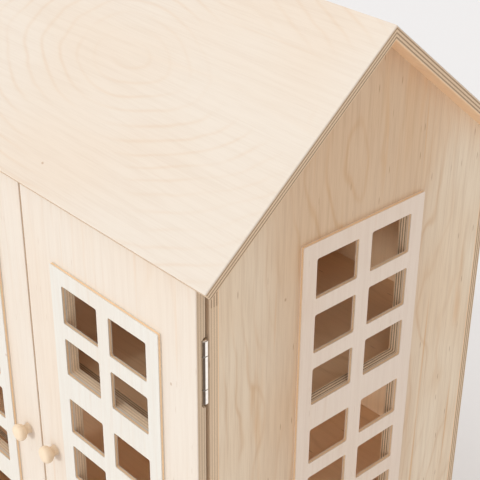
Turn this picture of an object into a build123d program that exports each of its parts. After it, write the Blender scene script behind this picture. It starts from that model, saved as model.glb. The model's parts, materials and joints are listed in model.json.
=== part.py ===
from build123d import *
import os
from math import cos, radians, sin, tan

# A plywood dollhouse with two hinged front doors. Millimetres, +Z up.
# The origin is the centre of the base's underside. The doors are on the -Y side,
# the ridge runs along X, and the two gable walls close the -X and +X ends.

# ---- driving dimensions -------------------------------------------------------

# Boards
board = 8.0                  # plywood thickness of every panel
grid_board = 3.0             # thickness of the applied window grids
edge_round = 0.8             # rounding on the handled edges

# Windows
pane_wide = 42.0
pane_high = 32.6
pane_round = 1.6             # corner left by the cutter
mullion = 13.5               # upright bar between the two columns of panes
rail = 13.3                  # level bar between two rows
floor_band = 22.7            # wider level band in front of each floor
border = 13.3                # frame around the panes
columns = 2
rows_in_storey = 3
rows_under_eave = 2          # rows of the door windows in the top storey
storeys = 3
skirting = 25.0              # from the ground to the bottom of the window grids

# Carcass
carcass_deep = 287.2         # outside the stiles to outside the rear wall
door_margin = 36.0           # plain board each side of a door's window grid
meeting_gap = 2.0            # between the two doors
stile_wide = 30.0
header_drop = 0.9            # header's lower edge below the gable panes' top line
groove_deep = 2.5            # housing for each floor in the walls

# Roof
roof_pitch = 39.37           # degrees
eave_reach = 4.1             # roof's lower edge beyond the face of the door grids
gable_reach = 17.0           # roof beyond each gable wall
eave_above_door = 6.9        # top corner of the roof's lower edge above the doors' top

# Doors
door_clear = 2.0             # under the doors
door_above_grid = 51.2       # board above the window grid of a door

# Hinges
hinge_long = 50.0
hinge_inset = 67.4           # door's end to the hinge's middle
leaf_wide = 16.0
leaf_thick = 1.2
leaf_corner = 1.5            # rounded corners of a leaf
barrel_r = 3.0
pin_r = 1.4
pin_clear = 0.05             # running clearance around the pin
pin_head_r = 2.2
pin_head = 0.7
end_knuckle = 11.4
knuckle_gap = 0.25
barrel_out = 1.0             # barrel beyond the door's edge
barrel_clear = 0.5           # notch around the barrel
stile_clear = 0.4            # between a barrel and the stile
notch_slant = 2.0            # slanted ends of the notch
hinge_screws = 3
hinge_screw_pitch = 17.0
hinge_screw_r = 1.1
hinge_screw_head_r = 2.1
hinge_screw_long = 6.0

# Knobs
knob_from_edge = 18.0
knob_r = 7.5
knob_neck_r = 4.0
knob_long = 13.0
knob_shoulder = knob_long / 3    # top of the neck
knob_widest = knob_long * 0.68   # height of the largest radius
knob_crown_r = 4.5           # flat end of the knob
knob_flare = 0.8             # foot and shoulder beyond the neck
knob_screw_r = 1.5
knob_screw_head_r = 3.2
knob_screw_bite = 8.0        # length of screw inside the knob

# Magnetic catches
magnet_r = 4.0
strike_r = 4.5
catch_sink = 1.6             # how deep a magnet or strike is let in
strike_proud = 1.0
catch_gap = 0.4              # between a magnet and its strike
catch_from_middle = 14.0
catch_below_top = 9.0

# Dowels and base screws
dowel_r = 2.0
dowel_in_cover = 5.0         # length in the panel that is laid on
dowel_in_wall = 11.0         # length in the gable wall's edge
dowel_heights = (60.0, 235.0, 385.0)     # in the stiles and the rear wall
roof_dowel_places = (0.3, 0.75)          # as shares of the wall's half depth
base_screw_r = 1.6
base_screw_head_r = 3.4
base_screw_long = 24.0
screw_sunk = 0.3             # heads below the base's underside
base_screw_pitch = 95.0

# Cutters
overshoot = 1.0              # how far a cutter reaches past the face it cuts

# ---- sizes that follow --------------------------------------------------------

panes_wide = columns * pane_wide + (columns - 1) * mullion
grid_wide = panes_wide + 2 * border
door_wide = grid_wide + 2 * door_margin
house_half = door_wide + meeting_gap / 2
gable_in = house_half - board

row_pitch = pane_high + rail
storey_panes = rows_in_storey * row_pitch - rail
storey_pitch = storey_panes + floor_band
panes_bottom = skirting + border
panes_top = panes_bottom + storeys * storey_pitch - floor_band
door_panes_top = panes_top - (rows_in_storey - rows_under_eave) * row_pitch

carcass_half = carcass_deep / 2
wall_half = carcass_half - board
door_gap = barrel_r + stile_clear        # between a closed door and the stiles behind it
door_back = carcass_half + door_gap
door_face = door_back + board
magnet_proud = door_gap - strike_proud - catch_gap
grid_face = door_face + grid_board
door_bottom = door_clear
door_top = door_panes_top + border + door_above_grid
header_bottom = panes_top - header_drop

slope = radians(roof_pitch)
eave_half = grid_face + eave_reach
eave_top = door_top + eave_above_door
ridge_top = eave_top + eave_half * tan(slope)
under_drop = board / cos(slope)          # roof's top face to its underside, measured down
roof_half = house_half + gable_reach

axis_x = house_half - barrel_r + barrel_out
axis_y = -door_back
leaf_cut = barrel_r + barrel_clear       # room kept around the barrel
hinge_heights = (door_bottom + hinge_inset, door_top - hinge_inset)

FRONT = Plane(origin=(0, 0, 0), x_dir=(1, 0, 0), z_dir=(0, -1, 0))
SIDE = Plane(origin=(0, 0, 0), x_dir=(0, 1, 0), z_dir=(1, 0, 0))


# ---- helpers --------------------------------------------------------------------

def block(low, high):
    """A box between two corners."""
    size = [b - a for a, b in zip(low, high)]
    middle = [(a + b) / 2 for a, b in zip(low, high)]
    return Pos(*middle) * Box(*size)


def across(outline, low, high):
    """A (y, z) outline carried along X from low to high."""
    points = [(low, y, z) for y, z in outline]
    face = Face(Wire.make_polygon(points, close=True))
    return extrude(face, amount=high - low, dir=(1, 0, 0))


def rod(start, end, radius):
    """A round bar from one point to another."""
    path = Vector(end) - Vector(start)
    plane = Plane(origin=start, z_dir=path)
    return plane * Cylinder(radius, path.length, align=(Align.CENTER, Align.CENTER, Align.MIN))


def countersunk(head, point, shank_r, head_r):
    """A countersunk screw: its head's face is at head, its tip at point."""
    path = Vector(point) - Vector(head)
    plane = Plane(origin=head, z_dir=path)
    sink = head_r - shank_r
    base = (Align.CENTER, Align.CENTER, Align.MIN)
    cone = Cone(head_r, shank_r, sink, align=base)
    shank = Cylinder(shank_r, path.length, align=base)
    return plane * (cone + shank)


def roof_under(y):
    """Height of the roof's underside at y."""
    return ridge_top - abs(y) * tan(slope) - under_drop


def mirror_x(shape):
    """The same piece at the other end of the house."""
    return mirror(shape, about=Plane.YZ)


def minus(shape, tools):
    """Cut every tool out of shape."""
    for tool in tools:
        shape = shape - tool
    return shape


def group(solids):
    """Separate like solids as one node."""
    return Compound(children=list(solids))


# ---- windows ----------------------------------------------------------------------

def storey_rows(storey, is_door):
    """How many rows of panes a storey has."""
    if is_door and storey == storeys - 1:
        return rows_under_eave
    return rows_in_storey


def storey_opening(storey, is_door):
    """Lowest and highest pane edge of a storey."""
    low = panes_bottom + storey * storey_pitch
    return low, low + storey_rows(storey, is_door) * row_pitch - rail


def openings(is_door):
    """Sketch of the wall openings, one to a storey."""
    sketch = Sketch()
    for storey in range(storeys):
        low, high = storey_opening(storey, is_door)
        sketch += Pos(0, (low + high) / 2) * RectangleRounded(panes_wide, high - low, pane_round)
    return sketch


def window_grid(is_door):
    """Window grid sketch: one frame over all storeys, cut by the panes."""
    top = door_panes_top if is_door else panes_top
    low = panes_bottom - border
    high = top + border
    sketch = Pos(0, (low + high) / 2) * RectangleRounded(grid_wide, high - low, edge_round)
    pane = RectangleRounded(pane_wide, pane_high, pane_round)
    for storey in range(storeys):
        first = storey_opening(storey, is_door)[0] + pane_high / 2
        for row in range(storey_rows(storey, is_door)):
            for column in range(columns):
                across_x = (column - (columns - 1) / 2) * (pane_wide + mullion)
                sketch -= Pos(across_x, first + row * row_pitch) * pane
    return sketch


def gable_grid():
    """Window grid glued to the right gable wall."""
    return SIDE * Pos(0, 0, house_half) * extrude(window_grid(False), grid_board)


def door_grid():
    """Window grid glued to the right door."""
    middle = meeting_gap / 2 + door_wide / 2
    return FRONT * Pos(middle, 0, door_face) * extrude(window_grid(True), grid_board)


# ---- fasteners --------------------------------------------------------------------

def front_dowels():
    """Dowels from the right stile and header into the right gable wall's front edge."""
    x = house_half - board / 2
    heights = (*dowel_heights, header_bottom + board)
    ends = (-wall_half - dowel_in_cover, -wall_half + dowel_in_wall)
    return [rod((x, ends[0], z), (x, ends[1], z), dowel_r) for z in heights]


def rear_dowels():
    """Dowels from the rear wall into the right gable wall's rear edge."""
    return [mirror(dowel, about=Plane.XZ) for dowel in front_dowels()]


def roof_dowels():
    """Dowels from both roof panels into the right gable wall's sloping edges."""
    x = house_half - board / 2
    dowels = []
    for share in roof_dowel_places:
        y = share * wall_half
        seat = Vector(x, y, roof_under(y))
        out = Vector(0, sin(slope), cos(slope))
        dowel = rod(seat - out * dowel_in_wall, seat + out * dowel_in_cover, dowel_r)
        dowels += [dowel, mirror(dowel, about=Plane.XZ)]
    return dowels


def base_screws():
    """Screws up through the base into the gable walls and the rear wall."""
    x = house_half - board / 2
    y = carcass_half - board / 2
    steps = (-base_screw_pitch, 0.0, base_screw_pitch)
    spots = [(side * x, step) for side in (-1, 1) for step in steps]
    spots += [(-base_screw_pitch, y), (base_screw_pitch, y)]
    tip = screw_sunk + base_screw_long
    return [countersunk((sx, sy, screw_sunk), (sx, sy, tip), base_screw_r, base_screw_head_r)
            for sx, sy in spots]


def base_screw_holes():
    """Mouths that let the base screws' heads in from below."""
    holes = []
    for screw in base_screws():
        middle = screw.bounding_box().center()
        holes.append(rod((middle.X, middle.Y, 0), (middle.X, middle.Y, screw_sunk), base_screw_head_r))
    return holes


def both_ends(solids):
    """Solids at the right end and their mirror images at the left end."""
    solids = list(solids)
    return solids + [mirror_x(solid) for solid in solids]


# ---- carcass ----------------------------------------------------------------------

def base_panel():
    """Bottom board, which every wall stands on."""
    panel = block((-house_half, -carcass_half, 0), (house_half, carcass_half, board))
    panel = fillet(panel.edges().filter_by(Axis.Z), edge_round)
    return minus(panel, base_screws() + base_screw_holes())


def floor_height(storey):
    """Underside of the floor under a storey."""
    return storey_opening(storey, False)[0] - floor_band / 2 - board / 2


def floor_panel(storey):
    """Floor housed in the gable walls and the rear wall."""
    reach = gable_in + groove_deep
    low = floor_height(storey)
    return block((-reach, -wall_half, low), (reach, wall_half + groove_deep, low + board))


def gable_wall():
    """Right gable wall, cut for its windows, floors, dowels and screws."""
    eave = roof_under(wall_half)
    outline = [(-wall_half, board), (wall_half, board), (wall_half, eave),
               (0, roof_under(0)), (-wall_half, eave)]
    wall = across(outline, gable_in, house_half)
    wall -= SIDE * Pos(0, 0, gable_in - overshoot) * extrude(openings(False), board + 2 * overshoot)
    floors = [floor_panel(storey) for storey in range(1, storeys)]
    return minus(wall, floors + front_dowels() + rear_dowels() + roof_dowels() + base_screws())


def rear_wall():
    """Rear wall, laid over the gable walls' rear edges and bevelled under the roof."""
    outline = [(wall_half, board), (carcass_half, board),
               (carcass_half, roof_under(carcass_half)), (wall_half, roof_under(wall_half))]
    wall = across(outline, -house_half, house_half)
    corners = wall.edges().filter_by(Axis.Z).group_by(Axis.Y)[-1]
    wall = fillet(corners, edge_round)
    floors = [floor_panel(storey) for storey in range(1, storeys)]
    return minus(wall, floors + both_ends(rear_dowels()) + base_screws())


def front_stile():
    """Right stile, laid over the gable wall's front edge."""
    stile = block((house_half - stile_wide, -carcass_half, board),
                  (house_half, -wall_half, header_bottom))
    corner = stile.edges().filter_by(Axis.Z).group_by(Axis.Y)[0].sort_by(Axis.X)[-1]
    stile = fillet([corner], edge_round)
    return minus(stile, front_dowels() + frame_screws())


def front_header():
    """Rail across the top of the door opening, bevelled under the roof."""
    outline = [(-carcass_half, header_bottom), (-wall_half, header_bottom),
               (-wall_half, roof_under(wall_half)), (-carcass_half, roof_under(carcass_half))]
    header = across(outline, -house_half, house_half)
    corners = header.edges().filter_by(Axis.Z).group_by(Axis.Y)[0]
    header = fillet(corners, edge_round)
    magnets = both_ends([header_magnet()])
    return minus(header, both_ends(front_dowels()) + magnets)


# ---- roof -------------------------------------------------------------------------

def roof_panel():
    """Front roof panel, mitred at the ridge, with its lower edge cut square."""
    eave = Vector(0, -eave_half, eave_top)
    under = eave + Vector(0, sin(slope), -cos(slope)) * board
    outline = [(0, ridge_top), (0, ridge_top - under_drop), (under.Y, under.Z), (eave.Y, eave.Z)]
    panel = across(outline, -roof_half, roof_half)
    ridge_edges = panel.edges().filter_by(lambda edge: abs(edge.center().Y) < edge_round)
    panel = fillet(panel.edges() - ridge_edges, edge_round)
    dowels = both_ends(roof_dowels())
    return minus(panel, [dowel for dowel in dowels if dowel.center().Y < 0])


# ---- doors ------------------------------------------------------------------------

def hinge_notch(height):
    """Room cut out of the right door's rear corner for a hinge, with slanted ends."""
    half = hinge_long / 2 + pin_head + barrel_clear + notch_slant
    notch = block((axis_x - leaf_cut, axis_y - leaf_cut, height - half),
                  (house_half + overshoot, axis_y + overshoot, height + half))
    ends = notch.edges().filter_by(Axis.X).group_by(Axis.Y)[0]
    notch = chamfer(ends, notch_slant)
    seat = block((axis_x - leaf_wide, axis_y - leaf_thick, height - hinge_long / 2),
                 (axis_x - leaf_cut + overshoot, axis_y + overshoot, height + hinge_long / 2))
    return notch + seat


def door_leaf():
    """Right door board."""
    leaf = block((meeting_gap / 2, -door_face, door_bottom), (house_half, -door_back, door_top))
    leaf = fillet(leaf.edges(), edge_round)
    middle = meeting_gap / 2 + door_wide / 2
    leaf -= FRONT * Pos(middle, 0, door_back - overshoot) * extrude(openings(True), board + 2 * overshoot)
    tools = [hinge_notch(height) for height in hinge_heights]
    tools += door_screws() + [knob_screw(), door_strike()]
    return minus(leaf, tools)


def knob_place():
    """X and Z of the right door's knob."""
    return meeting_gap / 2 + knob_from_edge, (door_bottom + door_top) / 2


def knob_screw():
    """Screw through the right door into its knob."""
    x, z = knob_place()
    head = (x, -door_back, z)
    point = (x, -door_face - knob_screw_bite, z)
    return countersunk(head, point, knob_screw_r, knob_screw_head_r)


def door_knob():
    """Turned knob of the right door: a waisted neck under a rounded head."""
    x, z = knob_place()
    foot_r = knob_neck_r + knob_flare
    with BuildPart() as turned:
        with BuildSketch(Plane.XZ):
            with BuildLine():
                Line((0, 0), (foot_r, 0))
                ThreePointArc((foot_r, 0), (knob_neck_r, knob_shoulder / 2), (foot_r, knob_shoulder))
                ThreePointArc((foot_r, knob_shoulder), (knob_r, knob_widest), (knob_crown_r, knob_long))
                Line((knob_crown_r, knob_long), (0, knob_long))
                Line((0, knob_long), (0, 0))
            make_face()
        revolve(axis=Axis.Z)
        fillet(turned.edges().group_by(Axis.Z)[-1], knob_crown_r / 3)
    seat = Plane(origin=(x, -door_face, z), x_dir=(1, 0, 0), z_dir=(0, -1, 0))
    return seat * turned.part - knob_screw()


# ---- magnetic catches ---------------------------------------------------------------

def catch_height():
    """Height of the catches, near the top of the doors."""
    return door_top - catch_below_top


def header_magnet():
    """Magnet let into the header for the right door."""
    z = catch_height()
    y = -carcass_half
    return rod((catch_from_middle, y + catch_sink, z), (catch_from_middle, y - magnet_proud, z), magnet_r)


def door_strike():
    """Steel disc let into the right door, opposite its magnet."""
    z = catch_height()
    y = -door_back
    return rod((catch_from_middle, y - catch_sink, z), (catch_from_middle, y + strike_proud, z), strike_r)


# ---- hinges -------------------------------------------------------------------------

def knuckle(low, high, bore_r):
    """One knuckle of a barrel, about the Z axis."""
    ring = Cylinder(barrel_r, high - low, align=(Align.CENTER, Align.CENTER, Align.MIN))
    ring -= Cylinder(bore_r, high - low, align=(Align.CENTER, Align.CENTER, Align.MIN))
    return Pos(0, 0, low) * ring


def leaf_plate(near, far, knuckles, bore_r):
    """A hinge leaf: a plate from near to far in Y, with its knuckles on the Z axis."""
    half = hinge_long / 2
    plate = block((-leaf_wide, near, -half), (-leaf_cut, far, half))
    plate = fillet(plate.edges().filter_by(Axis.Y).group_by(Axis.X)[0], leaf_corner)
    for low, high in knuckles:
        plate += block((-leaf_cut, near, low), (0, far, high))
        plate += knuckle(low, high, bore_r)
        plate -= Pos(0, 0, (low + high) / 2) * Cylinder(bore_r, high - low)
    return plate


def screw_heights():
    """Heights of a leaf's screws about its middle."""
    first = -hinge_screw_pitch * (hinge_screws - 1) / 2
    return [first + step * hinge_screw_pitch for step in range(hinge_screws)]


def leaf_screws(height, face, inward):
    """Screws of one leaf: their heads are in the plane y = face."""
    x = axis_x - (leaf_wide + leaf_cut) / 2
    return [countersunk((x, face, height + z), (x, face + inward * hinge_screw_long, height + z),
                        hinge_screw_r, hinge_screw_head_r) for z in screw_heights()]


def frame_screws():
    """Screws that hold the right door's hinges to the stile."""
    face = -carcass_half - leaf_thick
    return [screw for height in hinge_heights for screw in leaf_screws(height, face, 1)]


def door_screws():
    """Screws that hold the right door's hinges to the door."""
    return [screw for height in hinge_heights for screw in leaf_screws(height, -door_back, -1)]


def frame_leaf(height):
    """Leaf on the stile, with the two end knuckles."""
    half = hinge_long / 2
    knuckles = [(-half, -half + end_knuckle), (half - end_knuckle, half)]
    leaf = leaf_plate(door_gap - leaf_thick, door_gap, knuckles, pin_r)
    return minus(Pos(axis_x, axis_y, height) * leaf, frame_screws())


def door_hinge_leaf(height):
    """Leaf on the door, with the middle knuckle."""
    reach = hinge_long / 2 - end_knuckle - knuckle_gap
    leaf = leaf_plate(-leaf_thick, 0, [(-reach, reach)], pin_r + pin_clear)
    return minus(Pos(axis_x, axis_y, height) * leaf, door_screws())


def hinge_pin(height):
    """Pin through the barrel, with a head at each end."""
    half = hinge_long / 2
    pin = Cylinder(pin_r, hinge_long)
    for end in (-1, 1):
        pin += Pos(0, 0, end * (half + pin_head / 2)) * Cylinder(pin_head_r, pin_head)
    return Pos(axis_x, axis_y, height) * pin


# ---- every node ---------------------------------------------------------------------

def shared_nodes():
    """Nodes that the house has once."""
    return {
        "base_panel": base_panel(),
        "middle_floor": floor_panel(1),
        "upper_floor": floor_panel(2),
        "rear_wall": rear_wall(),
        "front_header": front_header(),
        "front_roof_panel": roof_panel(),
        "rear_roof_panel": mirror(roof_panel(), about=Plane.XZ),
        "header_magnets": group(both_ends([header_magnet()])),
        "front_frame_dowels": group(both_ends(front_dowels())),
        "rear_wall_dowels": group(both_ends(rear_dowels())),
        "roof_dowels": group(both_ends(roof_dowels())),
        "base_screws": group(base_screws()),
        "frame_hinge_screws": group(both_ends(frame_screws())),
    }


def right_nodes():
    """Nodes at the right end, which the left end mirrors."""
    nodes = {
        "gable_wall": gable_wall(),
        "gable_window_grid": gable_grid(),
        "front_stile": front_stile(),
        "door_leaf": door_leaf(),
        "door_window_grid": door_grid(),
        "door_knob": door_knob(),
        "door_knob_screw": knob_screw(),
        "door_strike": door_strike(),
        "door_hinge_screws": group(door_screws()),
    }
    for name, height in zip(("lower", "upper"), hinge_heights):
        nodes[name + "_hinge_frame_leaf"] = frame_leaf(height)
        nodes[name + "_hinge_door_leaf"] = door_hinge_leaf(height)
        nodes[name + "_hinge_pin"] = hinge_pin(height)
    return nodes


def main():
    """Write one STEP file for each node."""
    os.makedirs("parts", exist_ok=True)
    nodes = shared_nodes()
    for name, shape in right_nodes().items():
        nodes["right_" + name] = shape
        nodes["left_" + name] = mirror_x(shape)
    for name, shape in nodes.items():
        export_step(shape, os.path.join("parts", name + ".step"))


main()
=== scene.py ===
import json
from math import cos, pi, radians, sin

import bmesh
import bpy
from bpy.props import FloatProperty, FloatVectorProperty, PointerProperty
from mathutils import Matrix, Vector


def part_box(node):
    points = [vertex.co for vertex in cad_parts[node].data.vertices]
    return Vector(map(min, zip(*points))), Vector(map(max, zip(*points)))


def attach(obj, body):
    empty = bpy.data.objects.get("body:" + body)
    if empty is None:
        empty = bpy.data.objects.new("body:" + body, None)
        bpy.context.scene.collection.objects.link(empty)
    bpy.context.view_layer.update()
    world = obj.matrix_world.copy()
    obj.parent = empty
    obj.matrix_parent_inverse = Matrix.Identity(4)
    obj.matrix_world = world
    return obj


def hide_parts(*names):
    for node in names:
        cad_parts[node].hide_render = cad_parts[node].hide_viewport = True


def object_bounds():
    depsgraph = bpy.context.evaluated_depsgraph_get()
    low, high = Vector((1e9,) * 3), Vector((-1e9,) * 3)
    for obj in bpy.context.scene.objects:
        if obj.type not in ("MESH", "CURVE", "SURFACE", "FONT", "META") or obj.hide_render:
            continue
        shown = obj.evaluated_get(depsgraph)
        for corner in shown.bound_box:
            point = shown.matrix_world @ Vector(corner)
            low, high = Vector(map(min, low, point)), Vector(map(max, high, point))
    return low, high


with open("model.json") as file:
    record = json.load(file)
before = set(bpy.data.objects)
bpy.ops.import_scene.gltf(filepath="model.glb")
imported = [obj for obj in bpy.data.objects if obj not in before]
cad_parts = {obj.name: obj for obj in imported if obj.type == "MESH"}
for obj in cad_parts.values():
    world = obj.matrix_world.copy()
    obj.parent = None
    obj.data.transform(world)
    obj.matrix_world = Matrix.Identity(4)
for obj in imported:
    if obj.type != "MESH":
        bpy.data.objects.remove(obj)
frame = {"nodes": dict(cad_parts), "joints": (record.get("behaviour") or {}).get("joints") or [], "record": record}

bl_info = {
    "name": "Plywood Dollhouse",
    "version": (1, 0, 0),
    "blender": (4, 5, 0),
    "location": "View3D > Sidebar > Dollhouse",
    "description": "Finishes and fittings of a plywood dollhouse with two front doors",
    "category": "Add Mesh",
}

CAD_LOW, CAD_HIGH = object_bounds()
SIDES = {"right": 1, "left": -1}
LEVELS = ("lower", "upper")

# How the boards are set out, read from the frame
HOUSE_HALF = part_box("right_gable_wall")[1].x
GABLE_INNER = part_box("right_gable_wall")[0].x
BOARD = HOUSE_HALF - GABLE_INNER
DOOR_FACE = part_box("right_door_leaf")[0].y
DOOR_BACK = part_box("right_door_leaf")[1].y
GRID_BOARD = DOOR_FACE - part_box("right_door_window_grid")[0].y
STILE_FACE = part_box("right_front_stile")[0].y
REAR_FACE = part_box("rear_wall")[1].y
ROOF_LOW, ROOF_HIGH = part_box("front_roof_panel")
HINGE_JOINT = next(joint for joint in frame["joints"] if joint["name"] == "right_door_hinge")
HINGE_X, HINGE_Y = HINGE_JOINT["pos_m"][:2]
EAVE_TOP = 0.482402          # height of the roof's upper face at the eave
DOOR_GAP = STILE_FACE - DOOR_BACK
HINGE_LOW, HINGE_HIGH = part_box("right_upper_hinge_frame_leaf")
HINGE_LONG = HINGE_HIGH.z - HINGE_LOW.z
PIN_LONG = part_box("right_upper_hinge_pin")[1].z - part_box("right_upper_hinge_pin")[0].z


# ---- settings -----------------------------------------------------------------------

def colour(name, description, default):
    """A colour setting."""
    return FloatVectorProperty(name=name, description=description, default=default,
                               subtype="COLOR", size=3, min=0, max=1)


def length(name, description, default):
    """A length setting, in metres."""
    return FloatProperty(name=name, description=description, default=default,
                         min=0, subtype="DISTANCE", unit="LENGTH")


class DollhouseFinish(bpy.types.PropertyGroup):
    """Colours of the woods and metals."""

    pale_veneer: colour("Pale veneer", "Roof and door faces", (0.72, 0.635, 0.55))
    tan_veneer: colour("Tan veneer", "Gables, rear wall and stiles", (0.725, 0.56, 0.405))
    # Lighter and more orange than the outer veneers: painted warm bounce light on the faces inside the house and
    # under the roof
    inside_bounce_veneer: colour("Inside veneer", "Faces inside the house and under the roof", (0.93, 0.655, 0.42))
    # The door and gable grids are one thin board in lit and shaded copies: the door grids' darker, painted shade
    # against the front light, the gable grids' lighter and warmer, painted warm light in the gable's shade
    door_grid_dimmed_veneer: colour("Door grid veneer", "Faces of the doors' window grids", (0.70, 0.66, 0.60))
    gable_grid_lit_veneer: colour("Gable grid veneer", "Faces of the gables' window grids", (0.84, 0.715, 0.61))
    sapwood: colour("Sapwood", "Paler wood away from a veneer's heart", (0.86, 0.735, 0.575))
    grain_brown: colour("Grain brown", "Rings and flecks in the veneer", (0.40, 0.22, 0.11))
    streak_orange: colour("Streak orange", "Mineral streaks in the veneer", (0.70, 0.42, 0.20))
    ply_light: colour("Light ply", "Plies cut along the grain", (0.84, 0.65, 0.46))
    ply_dark: colour("Dark ply", "Plies cut across the grain", (0.40, 0.265, 0.165))
    glue_brown: colour("Glue line", "Glue between the plies", (0.20, 0.12, 0.07))
    cut_peach: colour("Cut edge", "Cut edges of the thin window grids", (0.98, 0.71, 0.45))
    # Painted light: a lighter copy of the light ply for the gables' and doors' cut edges, so that the window
    # reveals look lit from above
    lit_reveal_ply: colour("Window reveal", "Plies around the window openings", (0.98, 0.78, 0.56))
    nickel: colour("Nickel", "Hinges and magnets", (0.84, 0.80, 0.75))
    zinc: colour("Zinc", "Screws and strikes", (0.62, 0.62, 0.61))
    turned_birch: colour("Turned birch", "Door knobs", (0.80, 0.64, 0.47))
    beech: colour("Beech", "Dowels", (0.66, 0.46, 0.30))
    floor_white: colour("Floor white", "The floor the house stands on", (0.88, 0.875, 0.89))


class DollhouseSizes(bpy.types.PropertyGroup):
    """Sizes of the fittings."""

    board_ease: length("Board ease", "Softened edge of the boards", 0.0004)
    grid_ease: length("Grid ease", "Softened edge of the window grids", 0.0003)
    leaf_wide: length("Leaf width", "Width of a hinge leaf from its axis", 0.016)
    leaf_thick: length("Leaf thickness", "Sheet thickness of a hinge leaf", 0.0012)
    leaf_corner: length("Leaf corner", "Corner radius of a hinge leaf", 0.0015)
    barrel_radius: length("Barrel radius", "Outside radius of a hinge barrel", 0.003)
    barrel_clear: length("Barrel clearance", "Room between a barrel and its leaf", 0.0005)
    pin_radius: length("Pin radius", "Radius of a hinge pin", 0.0014)
    pin_head: length("Pin head", "Radius of a hinge pin's head", 0.0022)
    knuckle_gap: length("Knuckle gap", "Gap between two knuckles", 0.0006)
    end_knuckle: length("End knuckle", "Length of each end knuckle", 0.0114)
    metal_ease: length("Metal ease", "Softened edge of small metal parts", 0.00016)
    screw_pitch: length("Hinge screw pitch", "Between two screws of a leaf", 0.017)
    screw_long: length("Hinge screw length", "Length of a hinge screw", 0.006)
    screw_head: length("Hinge screw head", "Head radius of a hinge screw", 0.0021)
    screw_shank: length("Hinge screw shank", "Shank radius of a hinge screw", 0.0011)
    knob_screw_head: length("Knob screw head", "Head radius of a knob screw", 0.0032)
    knob_screw_shank: length("Knob screw shank", "Shank radius of a knob screw", 0.0015)


def finish():
    """The scene's colour settings."""
    return bpy.context.scene.dollhouse_finish


def sizes():
    """The scene's size settings."""
    return bpy.context.scene.dollhouse_sizes


# ---- node helpers ---------------------------------------------------------------------

def put(tree, kind, inputs=None, **settings):
    """Add a node, set it, and give each named input a value or a link."""
    node = tree.nodes.new(kind)
    for name, value in settings.items():
        setattr(node, name, value)
    for key, value in (inputs or {}).items():
        feed(tree, node.inputs[key], value)
    return node


def feed(tree, socket, value):
    """Link a socket to an output, or set its value."""
    if isinstance(value, bpy.types.NodeSocket):
        tree.links.new(value, socket)
    else:
        socket.default_value = value


def calc(tree, operation, first, second=0.0, third=0.0):
    """One Math node's result."""
    inputs = {0: first, 1: second, 2: third}
    return put(tree, "ShaderNodeMath", inputs, operation=operation).outputs[0]


# Places of the colour sockets of a Mix node, whose other sockets share their names
MIX_AMOUNT, MIX_FIRST, MIX_SECOND, MIX_RESULT = 0, 6, 7, 2


def blend(tree, amount, first, second):
    """Two colours mixed by an amount."""
    inputs = {MIX_AMOUNT: amount, MIX_FIRST: first, MIX_SECOND: second}
    return put(tree, "ShaderNodeMix", inputs, data_type="RGBA").outputs[MIX_RESULT]


def ramp(tree, value, low, high, out_low=0.0, out_high=1.0):
    """A value eased from one range to another."""
    inputs = {"Value": value, "From Min": low, "From Max": high, "To Min": out_low, "To Max": out_high}
    return put(tree, "ShaderNodeMapRange", inputs, interpolation_type="SMOOTHSTEP").outputs["Result"]


def stretched(tree, place, scale, offset=(0, 0, 0)):
    """A place scaled by a different amount along each axis."""
    node = put(tree, "ShaderNodeVectorMath", {0: place, 1: scale, 2: offset}, operation="MULTIPLY_ADD")
    return node.outputs[0]


def noise(tree, place, scale=1.0, detail=2.0, roughness=0.5, distortion=0.0):
    """Noise from 0 to 1."""
    inputs = {"Vector": place, "Scale": scale, "Detail": detail, "Roughness": roughness,
              "Distortion": distortion}
    return put(tree, "ShaderNodeTexNoise", inputs).outputs[0]


def rgba(value):
    """A colour setting as four numbers."""
    return (*value, 1.0)


def group_of(name, inputs, outputs):
    """A new shader node group with its named sockets, its input node and its output node."""
    group = bpy.data.node_groups.new(name, "ShaderNodeTree")
    kinds = {"value": "NodeSocketFloat", "vector": "NodeSocketVector", "colour": "NodeSocketColor"}
    for label, kind, default in inputs:
        socket = group.interface.new_socket(label, in_out="INPUT", socket_type=kinds[kind])
        socket.default_value = default
    for label, kind in outputs:
        group.interface.new_socket(label, in_out="OUTPUT", socket_type=kinds[kind])
    return group, put(group, "NodeGroupInput"), put(group, "NodeGroupOutput")


def use_group(tree, group, inputs):
    """Place a node group in a tree."""
    node = put(tree, "ShaderNodeGroup", node_tree=group)
    for key, value in inputs.items():
        feed(tree, node.inputs[key], value)
    return node


# ---- shared effects ---------------------------------------------------------------------

def board_place_group():
    """Object coordinates turned to along the grain, across it, and depth below the face."""
    inputs = [("Grain axis", "vector", (0, 0, 1)), ("Across axis", "vector", (1, 0, 0)),
              ("Depth axis", "vector", (0, 1, 0)), ("Face at", "value", 0.0)]
    group, source, sink = group_of("Board place", inputs, [("Place", "vector"), ("Depth", "value")])
    here = put(group, "ShaderNodeTexCoord").outputs["Object"]
    parts = []
    for label in ("Grain axis", "Across axis", "Depth axis"):
        dot = put(group, "ShaderNodeVectorMath", {0: here, 1: source.outputs[label]},
                  operation="DOT_PRODUCT")
        parts.append(dot.outputs["Value"])
    depth = calc(group, "SUBTRACT", parts[2], source.outputs["Face at"])
    place = put(group, "ShaderNodeCombineXYZ", {0: parts[0], 1: parts[1], 2: depth})
    feed(group, sink.inputs["Place"], place.outputs[0])
    feed(group, sink.inputs["Depth"], depth)
    return group


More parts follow.
